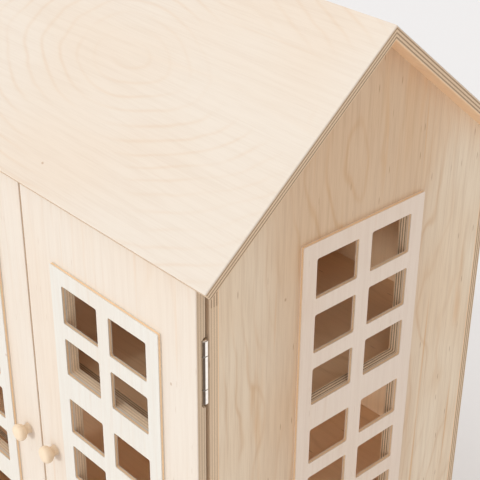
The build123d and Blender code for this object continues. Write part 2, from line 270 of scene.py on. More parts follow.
# How much finer each pattern is along the grain, across it and into the board
DRIFT_STRETCH = (5.0, 11.0, 1.0)
JITTER_STRETCH = (26.0, 90.0, 1.0)
PATCHY_STRETCH = (7.0, 13.0, 1.0)
FINE_FIBRE_STRETCH = (28.0, 900.0, 60.0)
COARSE_FIBRE_STRETCH = (9.0, 240.0, 40.0)
WIDE_STREAK_STRETCH = (4.5, 42.0, 1.0)
HAIR_STREAK_STRETCH = (2.6, 150.0, 1.0)
FLECK_STRETCH = (46.0, 420.0, 1.0)
KNOT_STRETCH = (17.0, 24.0, 1.0)
CLOUD_STRETCH = (6.0, 9.0, 1.0)

JITTER = 0.0022              # small wobble of a ring, in metres
RING_SHARPNESS = 9.0
COARSE_SHARE = 0.45          # coarse fibres' share beside fine ones
FLECK_SIZE = (0.19, 0.07)    # distances from its middle where a mark ends and where it is full
KNOT_SIZE = (0.032, 0.008)
FLECK_CHANCE = (0.955, 0.975)    # cells whose own number lies above these hold a mark
KNOT_CHANCE = (0.86, 0.88)


def ring_pattern(group, source, place):
    """Oval growth rings about the heart, fading in and out in patches."""
    ends = {0: source.outputs["Place"], 1: source.outputs["Heart"]}
    from_heart = put(group, "ShaderNodeVectorMath", ends, operation="SUBTRACT").outputs[0]
    split = put(group, "ShaderNodeSeparateXYZ", {0: from_heart})
    along = calc(group, "DIVIDE", split.outputs[0], source.outputs["Oval"])
    reach = calc(group, "SQRT", calc(group, "ADD", calc(group, "MULTIPLY", along, along),
                                     calc(group, "MULTIPLY", split.outputs[1], split.outputs[1])))
    drift = noise(group, stretched(group, place, DRIFT_STRETCH), detail=3.0, roughness=0.45)
    jitter = noise(group, stretched(group, place, JITTER_STRETCH), detail=2.0)
    drift = calc(group, "MULTIPLY", calc(group, "SUBTRACT", drift, 0.5), source.outputs["Wander"])
    jitter = calc(group, "MULTIPLY", calc(group, "SUBTRACT", jitter, 0.5), JITTER)
    wobbly = calc(group, "ADD", calc(group, "ADD", reach, calc(group, "MULTIPLY", drift, 2.0)), jitter)
    turns = calc(group, "DIVIDE", wobbly, source.outputs["Ring gap"])
    wave = calc(group, "SINE", calc(group, "MULTIPLY", turns, 2 * pi))
    ring = calc(group, "POWER", calc(group, "MULTIPLY_ADD", wave, 0.5, 0.5), RING_SHARPNESS)
    patchy = noise(group, stretched(group, place, PATCHY_STRETCH, (3.1, 1.7, 0.0)), detail=2.0)
    return calc(group, "MULTIPLY", ring, ramp(group, patchy, 0.40, 0.68))


def fibre_pattern(group, place):
    """Fine and coarse fibres along the grain."""
    fine = noise(group, stretched(group, place, FINE_FIBRE_STRETCH), detail=3.0, roughness=0.62)
    coarse = noise(group, stretched(group, place, COARSE_FIBRE_STRETCH, (0.4, 2.2, 0.0)), detail=2.0)
    return calc(group, "MULTIPLY_ADD", coarse, COARSE_SHARE,
                calc(group, "MULTIPLY", fine, 1 - COARSE_SHARE))


def streak_pattern(group, place):
    """Wide soft streaks and hair-thin ones."""
    wide = noise(group, stretched(group, place, WIDE_STREAK_STRETCH, (8.0, 0.6, 0.0)), detail=3.0,
                 roughness=0.55, distortion=0.6)
    hair = noise(group, stretched(group, place, HAIR_STREAK_STRETCH, (2.0, 5.1, 0.0)), detail=2.0)
    return calc(group, "MAXIMUM", ramp(group, wide, 0.60, 0.80, 0.0, 0.8), ramp(group, hair, 0.66, 0.74))


def rare_marks(group, place, stretch, offset, size, chance, channel):
    """Small marks in a few cells, chosen by one channel of each cell's own colour."""
    where = stretched(group, place, stretch, offset)
    cell = put(group, "ShaderNodeTexVoronoi", {"Vector": where, "Scale": 1.0}, voronoi_dimensions="2D")
    luck = put(group, "ShaderNodeSeparateColor", {0: cell.outputs["Color"]}).outputs[channel]
    return calc(group, "MULTIPLY", ramp(group, cell.outputs["Distance"], *size),
                ramp(group, luck, *chance))


def birch_figure_group():
    """Figure of rotary-cut birch: oval rings, fibres, streaks, flecks and pin knots."""
    inputs = [("Place", "vector", (0, 0, 0)), ("Heart", "vector", (0, 0, 0)),
              ("Oval", "value", 3.0), ("Ring gap", "value", 0.012), ("Wander", "value", 0.02),
              ("Seed", "value", 0.0)]
    outputs = [("Rings", "value"), ("Fibre", "value"), ("Streaks", "value"), ("Flecks", "value"),
               ("Knots", "value"), ("Cloud", "value"), ("Height", "value")]
    group, source, sink = group_of("Birch figure", inputs, outputs)
    seed = put(group, "ShaderNodeCombineXYZ", {2: source.outputs["Seed"]}).outputs[0]
    place = put(group, "ShaderNodeVectorMath", {0: source.outputs["Place"], 1: seed},
                operation="ADD").outputs[0]
    rings = ring_pattern(group, source, place)
    fibre = fibre_pattern(group, place)
    flecks = rare_marks(group, place, FLECK_STRETCH, (0, 0, 0), FLECK_SIZE, FLECK_CHANCE, 0)
    knots = rare_marks(group, place, KNOT_STRETCH, (0.3, 0.8, 0.0), KNOT_SIZE, KNOT_CHANCE, 1)
    cloud = noise(group, stretched(group, place, CLOUD_STRETCH, (1.3, 5.0, 0.0)), detail=2.0)
    height = calc(group, "SUBTRACT", fibre, calc(group, "MULTIPLY", rings, 0.25))
    height = calc(group, "SUBTRACT", height, calc(group, "MULTIPLY", flecks, 0.5))
    results = {"Rings": rings, "Fibre": fibre, "Streaks": streak_pattern(group, place),
               "Flecks": flecks, "Knots": knots, "Cloud": cloud, "Height": height}
    for label, result in results.items():
        feed(group, sink.inputs[label], result)
    return group


PORE_STRETCH = (1400.0, 1400.0, 2200.0)
WAVER_STRETCH = (30.0, 30.0, 0.0)
WAVER = 0.30                 # wander of a glue line, as a share of a ply
FACE_PLY = (0.55, 0.75)      # depths, in plies, where the cut edge takes over from the veneer
CROSS_NEAR = (1.08, 1.22)    # start and end of a cross ply in each pair of plies
CROSS_FAR = (1.92, 1.78)
GLUE_LINE = (0.13, 0.03)
SKIN = 0.01                  # keeps a depth inside the board's outermost plies
BACK_FROM = 0.85             # shares of the thickness where the back's veneer takes over
BACK_FULL = 0.92


def ply_layers_group():
    """Which ply of a board a depth lies in: a mask for cross plies and one for glue lines."""
    inputs = [("Depth", "value", 0.0), ("Thickness", "value", 0.007), ("Plies", "value", 7.0),
              ("Place", "vector", (0, 0, 0))]
    outputs = [("Cross", "value"), ("Glue", "value"), ("Inner", "value"), ("Pores", "value"),
               ("Back", "value")]
    group, source, sink = group_of("Ply layers", inputs, outputs)
    waver = noise(group, stretched(group, source.outputs["Place"], WAVER_STRETCH), detail=2.0)
    waver = calc(group, "MULTIPLY_ADD", waver, WAVER, -WAVER / 2)
    share = calc(group, "DIVIDE", source.outputs["Depth"], source.outputs["Thickness"])
    level = calc(group, "MULTIPLY", share, source.outputs["Plies"])
    top = calc(group, "SUBTRACT", source.outputs["Plies"], SKIN)
    inner = calc(group, "MULTIPLY", ramp(group, level, *FACE_PLY),
                 ramp(group, calc(group, "SUBTRACT", source.outputs["Plies"], level), *FACE_PLY))
    level = calc(group, "ADD", level, calc(group, "MULTIPLY", waver, inner))
    level = calc(group, "MINIMUM", calc(group, "MAXIMUM", level, SKIN), top)
    odd = calc(group, "MODULO", level, 2.0)
    cross = calc(group, "MULTIPLY", ramp(group, odd, *CROSS_NEAR), ramp(group, odd, *CROSS_FAR))
    frac = calc(group, "FRACT", level)
    near = calc(group, "MINIMUM", frac, calc(group, "SUBTRACT", 1.0, frac))
    glue = calc(group, "MULTIPLY", ramp(group, near, *GLUE_LINE), inner)
    pores = noise(group, stretched(group, source.outputs["Place"], PORE_STRETCH), detail=2.0)
    back = ramp(group, share, BACK_FROM, BACK_FULL)
    results = {"Cross": cross, "Glue": glue, "Inner": inner, "Pores": pores, "Back": back}
    for label, result in results.items():
        feed(group, sink.inputs[label], result)
    return group


SCRATCH_STRETCH = (5200.0, 5200.0, 160.0)
SMEAR_STRETCH = (260.0, 260.0, 150.0)
SMEAR_ROUGH = 0.06


def brushed_group():
    """Fine scratches along Z and faint handling marks on plated metal."""
    inputs = [("Rough", "value", 0.2), ("Scratch", "value", 0.1)]
    group, source, sink = group_of("Plated metal", inputs, [("Roughness", "value"), ("Height", "value")])
    here = put(group, "ShaderNodeTexCoord").outputs["Object"]
    lines = noise(group, stretched(group, here, SCRATCH_STRETCH), detail=2.0)
    smears = noise(group, stretched(group, here, SMEAR_STRETCH), detail=3.0)
    rough = calc(group, "MULTIPLY_ADD", lines, source.outputs["Scratch"], source.outputs["Rough"])
    rough = calc(group, "MULTIPLY_ADD", ramp(group, smears, 0.45, 0.7), SMEAR_ROUGH, rough)
    feed(group, sink.inputs["Roughness"], rough)
    feed(group, sink.inputs["Height"], lines)
    return group


def shared(name, maker):
    """A node group, made the first time it is asked for."""
    return bpy.data.node_groups.get(name) or maker()


# ---- materials --------------------------------------------------------------------------

def new_material(name):
    """An empty node material: its tree and its Principled BSDF."""
    material = bpy.data.materials.new(name)
    material.use_nodes = True
    tree = material.node_tree
    tree.nodes.clear()
    shader = put(tree, "ShaderNodeBsdfPrincipled")
    out = put(tree, "ShaderNodeOutputMaterial")
    tree.links.new(shader.outputs[0], out.inputs["Surface"])
    return material, tree, shader


def bumped(tree, shader, height, strength, distance):
    """Feed a height to the shader's normal."""
    bump = put(tree, "ShaderNodeBump", {"Strength": strength, "Distance": distance, "Height": height})
    feed(tree, shader.inputs["Normal"], bump.outputs[0])


STREAK_DEPTH = 0.55          # how far each mark pulls the veneer towards its own colour
RING_ORANGE = 0.6
RING_BROWN = 0.25
KNOT_DEPTH = 0.6
CLOUD_DEPTH = 0.12
FIBRE_DEPTH = 0.09
SAPWOOD_FROM = 0.05          # distances from the heart where the sapwood starts and is full
SAPWOOD_FULL = 0.12
GLUE_DEPTH = 0.30
# Strength of the painted shade on the doors' outer ends, and the distance over which it fades in
PAINTED_END_SHADE = 0.30
END_FADE = 0.001             # over which the painted shade on a door's outer end fades in
WOOD_ROUGH = (0.50, 0.62)
CUT_ROUGH = 0.22             # added on cut edges
WOOD_SHINE = 0.3
WOOD_RELIEF = 0.0003


def paler_sides(tree, veneer, across, heart, back, amount):
    """Sapwood towards both sides of a board's outer face."""
    from_heart = calc(tree, "ABSOLUTE", calc(tree, "SUBTRACT", across, heart))
    paler = ramp(tree, from_heart, SAPWOOD_FROM, SAPWOOD_FULL, 0.0, amount)
    outside = calc(tree, "SUBTRACT", 1.0, back)
    return blend(tree, calc(tree, "MULTIPLY", paler, outside), veneer, rgba(finish().sapwood))


def figured(tree, veneer, figure, rings, streaks, flecks, depth_of_tone):
    """A veneer's colour with its clouds, streaks, rings, fibres and flecks."""
    brown = rgba(finish().grain_brown)
    orange = rgba(finish().streak_orange)
    cloudy = ramp(tree, figure["Cloud"], 0.35, 0.70, 0.0, CLOUD_DEPTH * depth_of_tone)
    tone = blend(tree, cloudy, veneer, orange)
    tone = blend(tree, calc(tree, "MULTIPLY", figure["Streaks"], streaks * STREAK_DEPTH), tone, orange)
    tone = blend(tree, calc(tree, "MULTIPLY", figure["Rings"], rings * RING_ORANGE), tone, orange)
    tone = blend(tree, calc(tree, "MULTIPLY", figure["Rings"], rings * RING_BROWN), tone, brown)
    fine = ramp(tree, figure["Fibre"], 0.40, 0.68, 0.0, FIBRE_DEPTH * depth_of_tone)
    tone = blend(tree, fine, tone, brown)
    marks = calc(tree, "MULTIPLY", figure["Flecks"], flecks)
    marks = calc(tree, "MAXIMUM", marks, calc(tree, "MULTIPLY", figure["Knots"], KNOT_DEPTH))
    return blend(tree, marks, tone, brown)


def banded(tree, layers, edge, banding):
    """The colour of a board's cut edge: light plies, dark cross plies and glue lines."""
    dark = rgba(finish().ply_dark)
    glue = rgba(finish().glue_brown)
    speckle = ramp(tree, layers["Pores"], 0.35, 0.70, 0.0, 0.25)
    long_cut = blend(tree, speckle, rgba(edge), dark)
    end_cut = blend(tree, calc(tree, "MULTIPLY", speckle, 0.6), dark, glue)
    band = blend(tree, calc(tree, "MULTIPLY", layers["Cross"], banding), long_cut, end_cut)
    return blend(tree, calc(tree, "MULTIPLY", layers["Glue"], GLUE_DEPTH * banding), band, glue)


def plywood(name, face, grain, across, depth, face_at, back=None, thick=BOARD, plies=7,
            heart=(0, 0, 0), oval=3.0, ring_gap=0.012, wander=0.02, seed=0.0, rings=0.30, streaks=0.5,
            flecks=0.7, edge=None, banding=1.0, depth_of_tone=1.0, sapwood=0.0, painted_shade_end=0.0):
    """A plywood finish. Depth runs into the board from its outer face, which lies at face_at."""
    material, tree, shader = new_material(name)
    place = use_group(tree, shared("Board place", board_place_group),
                      {"Grain axis": grain, "Across axis": across, "Depth axis": depth, "Face at": face_at})
    where = place.outputs["Place"]
    figure = use_group(tree, shared("Birch figure", birch_figure_group),
                       {"Place": where, "Heart": heart, "Oval": oval, "Ring gap": ring_gap,
                        "Wander": wander, "Seed": seed}).outputs
    layers = use_group(tree, shared("Ply layers", ply_layers_group),
                       {"Depth": place.outputs["Depth"], "Thickness": thick, "Plies": plies,
                        "Place": where}).outputs
    sideways = put(tree, "ShaderNodeSeparateXYZ", {0: where}).outputs["Y"]
    veneer = blend(tree, layers["Back"], rgba(face), rgba(back or face))
    if sapwood:
        veneer = paler_sides(tree, veneer, sideways, heart[1], layers["Back"], sapwood)
    tone = figured(tree, veneer, figure, rings, streaks, flecks, depth_of_tone)
    band = banded(tree, layers, edge or finish().ply_light, banding)
    # Painted shade: the cut edge on a door's outer end, which lies away from the light, is darkened towards the
    # glue brown
    if painted_shade_end:
        shaded_end_mask = ramp(tree, calc(tree, "ABSOLUTE", sideways), painted_shade_end - END_FADE, painted_shade_end)
        band = blend(tree, calc(tree, "MULTIPLY", shaded_end_mask, PAINTED_END_SHADE), band, rgba(finish().glue_brown))
    feed(tree, shader.inputs["Base Color"], blend(tree, layers["Inner"], tone, band))

    rough = ramp(tree, figure["Fibre"], 0.3, 0.7, *WOOD_ROUGH)
    feed(tree, shader.inputs["Roughness"], calc(tree, "MULTIPLY_ADD", layers["Inner"], CUT_ROUGH, rough))
    shader.inputs["Specular IOR Level"].default_value = WOOD_SHINE
    relief = calc(tree, "SUBTRACT", figure["Height"], calc(tree, "MULTIPLY", layers["Glue"], 0.6))
    relief = calc(tree, "ADD", relief, calc(tree, "MULTIPLY", layers["Pores"], layers["Inner"]))
    bumped(tree, shader, relief, 0.3, WOOD_RELIEF)
    return material


TARNISH_SCALE = 420.0
TARNISH_DEPTH = 0.35
TARNISH_TONE = 0.62          # tarnished metal's brightness beside clean metal
SCRATCH_RELIEF = 0.00005


def plated(name, metal, rough, scratch):
    """A plated or satin metal."""
    material, tree, shader = new_material(name)
    marks = use_group(tree, shared("Plated metal", brushed_group), {"Rough": rough, "Scratch": scratch})
    here = put(tree, "ShaderNodeTexCoord").outputs["Object"]
    patches = noise(tree, here, scale=TARNISH_SCALE, detail=3.0)
    tarnish = ramp(tree, patches, 0.45, 0.75, 0.0, TARNISH_DEPTH)
    dulled = tuple(part * TARNISH_TONE for part in metal)
    feed(tree, shader.inputs["Base Color"], blend(tree, tarnish, rgba(metal), rgba(dulled)))
    feed(tree, shader.inputs["Roughness"], marks.outputs["Roughness"])
    shader.inputs["Metallic"].default_value = 1.0
    bumped(tree, shader, marks.outputs["Height"], 0.12, SCRATCH_RELIEF)
    return material


# ---- shapes -----------------------------------------------------------------------------

MERGE = 0.00001
SMOOTH_ANGLE = radians(38)
SHARP_ANGLE = radians(50)
FLAT_ANGLE = radians(0.4)
BARREL_STEPS = 40
PIN_STEPS = 32
SCREW_STEPS = 24
FACING_UP = 0.99


def add_piece(name, shape, material, nodes):
    """Turn a bmesh into a piece that stands for CAD nodes and rides with them."""
    mesh = bpy.data.meshes.new(name)
    shape.to_mesh(mesh)
    shape.free()
    mesh.shade_smooth()
    mesh.set_sharp_from_angle(angle=SMOOTH_ANGLE)
    mesh.materials.append(material)
    piece = bpy.data.objects.new(name, mesh)
    bpy.context.scene.collection.objects.link(piece)
    weighted = piece.modifiers.new("Even shading", "WEIGHTED_NORMAL")
    weighted.keep_sharp = True
    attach(piece, body_of(nodes[0]))
    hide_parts(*nodes)
    return piece


def body_of(node):
    """The body a CAD node rides on."""
    bodies = frame["record"]["behaviour"]["bodies"]
    return next(body for body, names in bodies.items() if node in names)


def bevelled(shape, edges, offset, segments=2):
    """Round off some edges."""
    bmesh.ops.bevel(shape, geom=list(edges), offset=offset, offset_type="OFFSET", segments=segments,
                    profile=0.5, affect="EDGES", clamp_overlap=True, material=-1)


def sharp_edges(shape):
    """Edges where two faces meet at a sharp angle."""
    return [edge for edge in shape.edges if edge.is_manifold and edge.calc_face_angle() > SHARP_ANGLE]


def eased(node, ease, material):
    """A board with softened edges, made over its CAD node."""
    shape = bmesh.new()
    shape.from_mesh(frame["nodes"][node].data)
    bmesh.ops.remove_doubles(shape, verts=shape.verts, dist=MERGE)
    bmesh.ops.dissolve_limit(shape, angle_limit=FLAT_ANGLE, verts=shape.verts, edges=shape.edges)
    bevelled(shape, sharp_edges(shape), ease)
    return add_piece(node + "_eased", shape, material, [node])


def finished(piece, material):
    """Give a piece or a CAD node its one material."""
    slots = piece.data.materials
    if len(slots) == 0:
        slots.append(material)
    for index in range(len(slots)):
        slots[index] = material


def box_shape(shape, low, high):
    """Add a box between two corners and return its vertices."""
    low, high = Vector(low), Vector(high)
    size = Matrix.Diagonal((*(high - low), 1.0))
    made = bmesh.ops.create_cube(shape, size=1.0, matrix=Matrix.Translation((low + high) / 2) @ size)
    return made["verts"]


def edges_of(verts):
    """All edges of some vertices, once each."""
    return list({edge for vert in verts for edge in vert.link_edges})


def turned(shape, profile, steps, closed=False):
    """Spin a profile of (radius, height) points about Z."""
    verts = [shape.verts.new((radius, 0, height)) for radius, height in profile]
    edges = [shape.edges.new(pair) for pair in zip(verts, verts[1:])]
    if closed:
        edges.append(shape.edges.new((verts[-1], verts[0])))
    bmesh.ops.spin(shape, geom=verts + edges, axis=UP, cent=(0, 0, 0), dvec=(0, 0, 0),
                   angle=2 * pi, steps=steps, use_merge=True)
    bmesh.ops.remove_doubles(shape, verts=shape.verts, dist=MERGE / 10)
    bmesh.ops.recalc_face_normals(shape, faces=shape.faces)


def joined(parts):
    """One bmesh from several finished ones, each moved to its place."""
    whole = bmesh.new()
    for part, place in parts:
        part.transform(place)
        if place.is_negative:
            bmesh.ops.reverse_faces(part, faces=part.faces)
        mesh = bpy.data.meshes.new("part")
        part.to_mesh(mesh)
        part.free()
        whole.from_mesh(mesh)
        bpy.data.meshes.remove(mesh)
    return whole


def mirror_of(side):
    """The identity for the right side, and a mirror across X for the left side."""
    return Matrix.Diagonal((side, 1, 1, 1))


# ---- operators --------------------------------------------------------------------------

UP = (0, 0, 1)
ALONG_X = (1, 0, 0)
ALONG_Y = (0, 1, 0)


def roof_axes(side):
    """Along the ridge, down the slope, and into the board, for the front (-1) or rear (1) slope."""
    pitch = Vector((abs(ROOF_LOW.y), ROOF_HIGH.z - EAVE_TOP)).normalized()
    down = Vector((0, side * pitch.x, -pitch.y))
    inward = Vector((0, -side * pitch.y, -pitch.x))
    return Vector(ALONG_X), down, inward


class DollhouseOperator(bpy.types.Operator):
    """Base of the dollhouse operators."""

    bl_options = {"REGISTER", "UNDO"}


# Each panel's slope, its rings' heart along the ridge and below it, and its seed
ROOF_PANELS = {"front_roof_panel": (-1, (0.026, 0.089), 0.0), "rear_roof_panel": (1, (0.05, 0.12), 4.0)}


class DOLLHOUSE_OT_roof(DollhouseOperator):
    """Make the two roof panels."""

    bl_idname = "dollhouse.roof"
    bl_label = "Roof panels"

    def execute(self, context):
        look = finish()
        ridge = Vector((0, 0, CAD_HIGH.z))
        for name, (side, heart, seed) in ROOF_PANELS.items():
            along, down, inward = roof_axes(side)
            heart = (heart[0], heart[1] + ridge.dot(down), 0)
            veneer = plywood("Birch " + name, look.pale_veneer, along, down, inward,
                             ridge.dot(inward), back=look.inside_bounce_veneer, heart=heart, oval=1.9,
                             ring_gap=0.0098, wander=0.014, seed=seed, rings=0.24, streaks=0.15,
                             flecks=0.0)
            eased(name, sizes().board_ease, veneer)
        return {"FINISHED"}


class DOLLHOUSE_OT_walls(DollhouseOperator):
    """Make the gable walls, the rear wall, the stiles and the header."""

    bl_idname = "dollhouse.walls"
    bl_label = "Walls"

    def execute(self, context):
        look = finish()
        tan, inside = look.tan_veneer, look.inside_bounce_veneer
        ease = sizes().board_ease
        for name, side in SIDES.items():
            wall = plywood("Birch " + name + " gable", tan, UP, ALONG_Y, (-side, 0, 0), -HOUSE_HALF,
                           back=inside, heart=(0.52, -0.01 * side, 0), oval=4.5, ring_gap=0.014,
                           wander=0.05, seed=side * 2.0, rings=0.55, streaks=1.2, flecks=0.8,
                           depth_of_tone=2.5, sapwood=1.0, edge=look.lit_reveal_ply)
            eased(name + "_gable_wall", ease, wall)
            stile = plywood("Birch " + name + " stile", tan, UP, ALONG_X, ALONG_Y, STILE_FACE,
                            back=inside, oval=9.0, seed=side * 5.0, heart=(0.2, side * 0.1, 0),
                            banding=0.45)
            eased(name + "_front_stile", ease, stile)
        rear = plywood("Birch rear wall", tan, UP, ALONG_X, (0, -1, 0), -REAR_FACE, back=inside,
                       heart=(0.3, -0.06, 0), oval=6.0, ring_gap=0.013, seed=9.0, rings=0.32)
        eased("rear_wall", ease, rear)
        header = plywood("Birch header", tan, ALONG_X, UP, ALONG_Y, STILE_FACE, back=inside,
                         seed=12.0, oval=9.0)
        eased("front_header", ease, header)
        return {"FINISHED"}


class DOLLHOUSE_OT_floors(DollhouseOperator):
    """Make the base and the two floors."""

    bl_idname = "dollhouse.floors"
    bl_label = "Base and floors"

    def execute(self, context):
        inside = finish().inside_bounce_veneer
        for index, name in enumerate(("base_panel", "middle_floor", "upper_floor")):
            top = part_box(name)[1].z
            veneer = plywood("Birch " + name, inside, ALONG_X, ALONG_Y, (0, 0, -1), -top,
                             heart=(0.1 - 0.12 * index, 0.04, 0), oval=5.0, seed=20.0 + index)
            eased(name, sizes().board_ease, veneer)
        return {"FINISHED"}


class DOLLHOUSE_OT_doors(DollhouseOperator):
    """Make the two door leaves."""

    bl_idname = "dollhouse.doors"
    bl_label = "Door leaves"

    def execute(self, context):
        look = finish()
        for name, side in SIDES.items():
            veneer = plywood("Birch " + name + " door", look.pale_veneer, UP, ALONG_X, ALONG_Y,
                             DOOR_FACE, back=look.sapwood, heart=(0.25, side * 0.16, 0), oval=8.0,
                             ring_gap=0.012, seed=30.0 + side, rings=0.14, streaks=0.25, flecks=0.25,
                             banding=0.4, edge=look.lit_reveal_ply,
                             painted_shade_end=HOUSE_HALF - END_FADE * 0.3)
            eased(name + "_door_leaf", sizes().board_ease, veneer)
        return {"FINISHED"}


class DOLLHOUSE_OT_window_grids(DollhouseOperator):
    """Make the four window grids."""

    bl_idname = "dollhouse.window_grids"
    bl_label = "Window grids"

    def execute(self, context):
        look = finish()
        ease = sizes().grid_ease
        for name, side in SIDES.items():
            gable = plywood("Birch " + name + " gable grid", look.gable_grid_lit_veneer, UP, ALONG_Y,
                            (-side, 0, 0), -HOUSE_HALF - GRID_BOARD, thick=GRID_BOARD, plies=3,
                            oval=9.0, seed=40.0 + side, rings=0.10, streaks=0.2, flecks=0.15,
                            edge=look.cut_peach, banding=0.12)
            eased(name + "_gable_window_grid", ease, gable)
            door = plywood("Birch " + name + " door grid", look.door_grid_dimmed_veneer, UP, ALONG_X, ALONG_Y,
                           DOOR_FACE - GRID_BOARD, thick=GRID_BOARD, plies=3, oval=9.0,
                           seed=44.0 + side, rings=0.08, streaks=0.15, flecks=0.1,
                           edge=look.cut_peach, banding=0.12)
            eased(name + "_door_window_grid", ease, door)
        return {"FINISHED"}


def hinge_middles():
    """Height of each hinge's middle, by its level."""
    heights = {}
    for level in LEVELS:
        low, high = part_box("right_" + level + "_hinge_pin")
        heights[level] = (low.z + high.z) / 2
    return heights


def hinge_leaf(face, knuckles):
    """A hinge leaf about its own pin: the plate's near face at y = face, and rolled knuckles."""
    size = sizes()
    half = HINGE_LONG / 2
    root = -size.barrel_radius - size.barrel_clear
    shape = bmesh.new()
    verts = box_shape(shape, (-size.leaf_wide, face, -half), (root, face + size.leaf_thick, half))
    corners = [edge for edge in edges_of(verts) if abs(edge.verts[0].co.y - edge.verts[1].co.y) > MERGE
               and edge.verts[0].co.x < root - MERGE]
    bevelled(shape, corners, size.leaf_corner, segments=5)
    for low, high in knuckles:
        box_shape(shape, (root - size.barrel_clear, face, low), (0, face + size.leaf_thick, high))
    bevelled(shape, sharp_edges(shape), size.metal_ease)
    for low, high in knuckles:
        ring = bmesh.new()
        outer, bore = size.barrel_radius, size.pin_radius
        turned(ring, [(bore, low), (outer, low), (outer, high), (bore, high)], BARREL_STEPS, closed=True)
        bevelled(ring, sharp_edges(ring), size.metal_ease)
        shape = joined([(shape, Matrix()), (ring, Matrix())])
    return shape


PIN_RIM = 0.0003
PIN_DOME = 0.6               # flat top of a pin's head, as a share of its radius


def hinge_pin():
    """A pin with a low domed head at each end."""
    size = sizes()
    half = HINGE_LONG / 2
    tip = PIN_LONG / 2
    head, flat = size.pin_head, size.pin_head * PIN_DOME
    profile = [(0, -tip), (flat, -tip), (head, -half - PIN_RIM), (head, -half),
               (size.pin_radius, -half), (size.pin_radius, half),
               (head, half), (head, half + PIN_RIM), (flat, tip), (0, tip)]
    shape = bmesh.new()
    turned(shape, profile, PIN_STEPS)
    bevelled(shape, sharp_edges(shape), size.metal_ease / 2)
    return shape


class DOLLHOUSE_OT_hinges(DollhouseOperator):
    """Make the four butt hinges: two leaves and a pin each."""

    bl_idname = "dollhouse.hinges"
    bl_label = "Hinges"

    def execute(self, context):
        size = sizes()
        nickel = plated("Nickel plate", finish().nickel, 0.03, 0.03)
        half = HINGE_LONG / 2
        reach = half - size.end_knuckle - size.knuckle_gap
        ends = [(-half, -half + size.end_knuckle), (half - size.end_knuckle, half)]
        for name, side in SIDES.items():
            for level, height in hinge_middles().items():
                place = mirror_of(side) @ Matrix.Translation((HINGE_X, HINGE_Y, height))
                start = name + "_" + level + "_hinge_"
                frame_leaf = hinge_leaf(DOOR_GAP - size.leaf_thick, ends)
                door_leaf = hinge_leaf(-size.leaf_thick, [(-reach, reach)])
                for part, shape in (("frame_leaf", frame_leaf), ("door_leaf", door_leaf),
                                    ("pin", hinge_pin())):
                    add_piece(start + part + "_plated", joined([(shape, place)]), nickel, [start + part])
        return {"FINISHED"}


POINT_LONG = 1.6             # a screw's point, in shank radii
POINT_END = 0.2
CROSS_WING = 0.13            # half width and reach of the cross recess, in head radii
CROSS_REACH = 0.62
CROSS_DEEP = 0.7             # depth of the recess, as a share of the head's
CROSS_TAPER = 0.7


def cross_screw(head, shank, long):
    """A countersunk screw with a cross recess: head up at z = 0, tip at z = -long."""
    shape = bmesh.new()
    sink = head - shank
    tip = shank * POINT_END
    point = -long + shank * POINT_LONG
    profile = [(0, 0), (head, 0), (shank, -sink), (shank, point), (tip, -long), (0, -long)]
    turned(shape, profile, SCREW_STEPS)
    bmesh.ops.dissolve_limit(shape, angle_limit=radians(1), verts=shape.verts, edges=shape.edges)
    wing = head * CROSS_WING
    reach = head * CROSS_REACH
    for axis in (Vector(ALONG_X), Vector(ALONG_Y)):
        for spot in (-reach, -wing, wing, reach):
            cap = [face for face in shape.faces if face.normal.z > FACING_UP]
            inside = {item for face in cap for item in (face, *face.edges, *face.verts)}
            bmesh.ops.bisect_plane(shape, geom=list(inside), plane_co=axis * spot, plane_no=axis)
    cells = [face for face in shape.faces if face.normal.z > FACING_UP and in_cross(face, wing, reach)]
    sunk = bmesh.ops.extrude_face_region(shape, geom=cells)
    bmesh.ops.delete(shape, geom=cells, context="FACES")
    floor = [item for item in sunk["geom"] if isinstance(item, bmesh.types.BMVert)]
    bmesh.ops.translate(shape, verts=floor, vec=(0, 0, -sink * CROSS_DEEP))
    bmesh.ops.scale(shape, verts=floor, vec=(CROSS_TAPER, CROSS_TAPER, 1))
    bmesh.ops.recalc_face_normals(shape, faces=shape.faces)
    return shape


def in_cross(face, wing, reach):
    """Whether a face of the head lies in its cross recess."""
    middle = face.calc_center_median()
    across = sorted((abs(middle.x), abs(middle.y)))
    return across[0] < wing and across[1] < reach


def screw_at(place, point, head, shank):
    """A cross screw with its head at place, driven towards point."""
    path = Vector(point) - Vector(place)
    turn = (-path).to_track_quat("Z", "Y").to_matrix().to_4x4()
    return cross_screw(head, shank, path.length), Matrix.Translation(place) @ turn


def leaf_screws(face, inward):
    """Screws of the right side's hinge leaves whose outer face is at y = face."""
    size = sizes()
    x = HINGE_X - (size.leaf_wide + size.barrel_radius + size.barrel_clear) / 2
    screws = []
    for height in hinge_middles().values():
        for step in (-1, 0, 1):
            z = height + step * size.screw_pitch
            point = (x, face + inward * size.screw_long, z)
            screws.append(screw_at((x, face, z), point, size.screw_head, size.screw_shank))
    return screws


def on_sides(screws, sides):
    """Screws placed on one side or both."""
    return [(shape.copy(), mirror_of(side) @ place) for side in sides for shape, place in screws]


